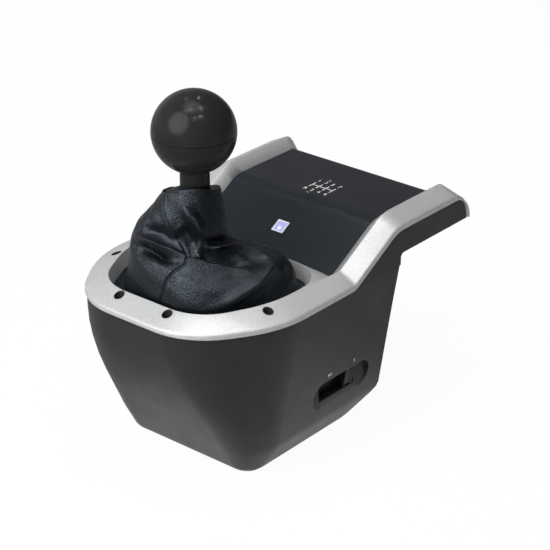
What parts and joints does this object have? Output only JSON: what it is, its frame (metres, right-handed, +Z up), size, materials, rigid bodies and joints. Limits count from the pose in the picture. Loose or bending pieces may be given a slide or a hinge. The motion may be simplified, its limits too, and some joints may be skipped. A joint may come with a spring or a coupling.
{
  "type": "sim racing gear shifter",
  "caption": "Desk-hung gear shifter with a ball knob on a gimballed lever in an H gate, leather boot, silver frame, sloped console and a sliding mode switch.",
  "frame": {"origin": "centre of the bounding box on the ground plane under the body", "axes": "+X to the driver's right, +Y away from the driver, +Z up"},
  "size_m": [0.1484, 0.2336, 0.2324],
  "materials": {
    "housing_plastic": "fine matte charcoal",
    "panel_plastic": "fine matte charcoal",
    "silver_frame": "satin silver",
    "lens_plastic": "pale clear",
    "white_plastic": "satin white",
    "black_plastic": "matte black",
    "knob_plastic": "satin black",
    "boot_leather": "fine grained, soft sheen",
    "board": "green solder mask",
    "dark_steel": "black oxide",
    "bright_steel": "ground",
    "insert_brass": "turned",
    "cast_alloy": "cast",
    "pad_rubber": "matte"
  },
  "bodies": {
    "body": {"main_housing": "housing_plastic", "base_cover": "housing_plastic", "desk_pad": "pad_rubber", "top_frame": "silver_frame", "console_panel": "panel_plastic", "led_lens": "lens_plastic", "led_bezel": "white_plastic", "led_board": "board", "frame_screws": "dark_steel", "base_screws": "dark_steel", "clamp_inserts": "insert_brass", "control_board": "board", "cable_socket": "black_plastic", "mode_switch": "black_plastic", "shift_boot": "boot_leather", "boot_retainer": "black_plastic", "yoke_bushes": "insert_brass", "centring_spring": "bright_steel", "mechanism_chassis": "cast_alloy", "chassis_screws": "dark_steel", "gate_plate": "bright_steel", "gate_screws": "dark_steel", "gate_sensor": "black_plastic"},
    "yoke": {"gimbal_yoke": "cast_alloy", "detent_leaf": "bright_steel", "shift_sensor": "black_plastic"},
    "lever": {"shift_lever": "bright_steel", "gate_finger": "bright_steel", "pivot_pin": "bright_steel", "pivot_clip": "dark_steel", "pivot_spacer": "white_plastic", "detent_cam": "white_plastic", "knob_upper": "knob_plastic", "knob_lower": "knob_plastic", "knob_insert": "insert_brass", "boot_collar": "black_plastic"},
    "slider": {"mode_slider": "black_plastic", "slider_carriage": "black_plastic"}
  },
  "joints": [
    {"name": "gate_select", "type": "hinge", "parent": "body", "child": "yoke", "pos_m": [0, -0.05975, 0.076], "axis": [0, 1, 0], "range_deg": [-16, 8], "stiffness_Nm_per_rad": 1.2, "deforming": ["shift_boot", "centring_spring"]},
    {"name": "gear_throw", "type": "hinge", "parent": "yoke", "child": "lever", "pos_m": [0, -0.05975, 0.076], "axis": [1, 0, 0], "range_deg": [-12, 12], "deforming": ["shift_boot", "detent_leaf"]},
    {"name": "mode_slide", "type": "slide", "parent": "body", "child": "slider", "axis": [0, 1, 0], "range_m": [-0.02, 0]}
  ]
}
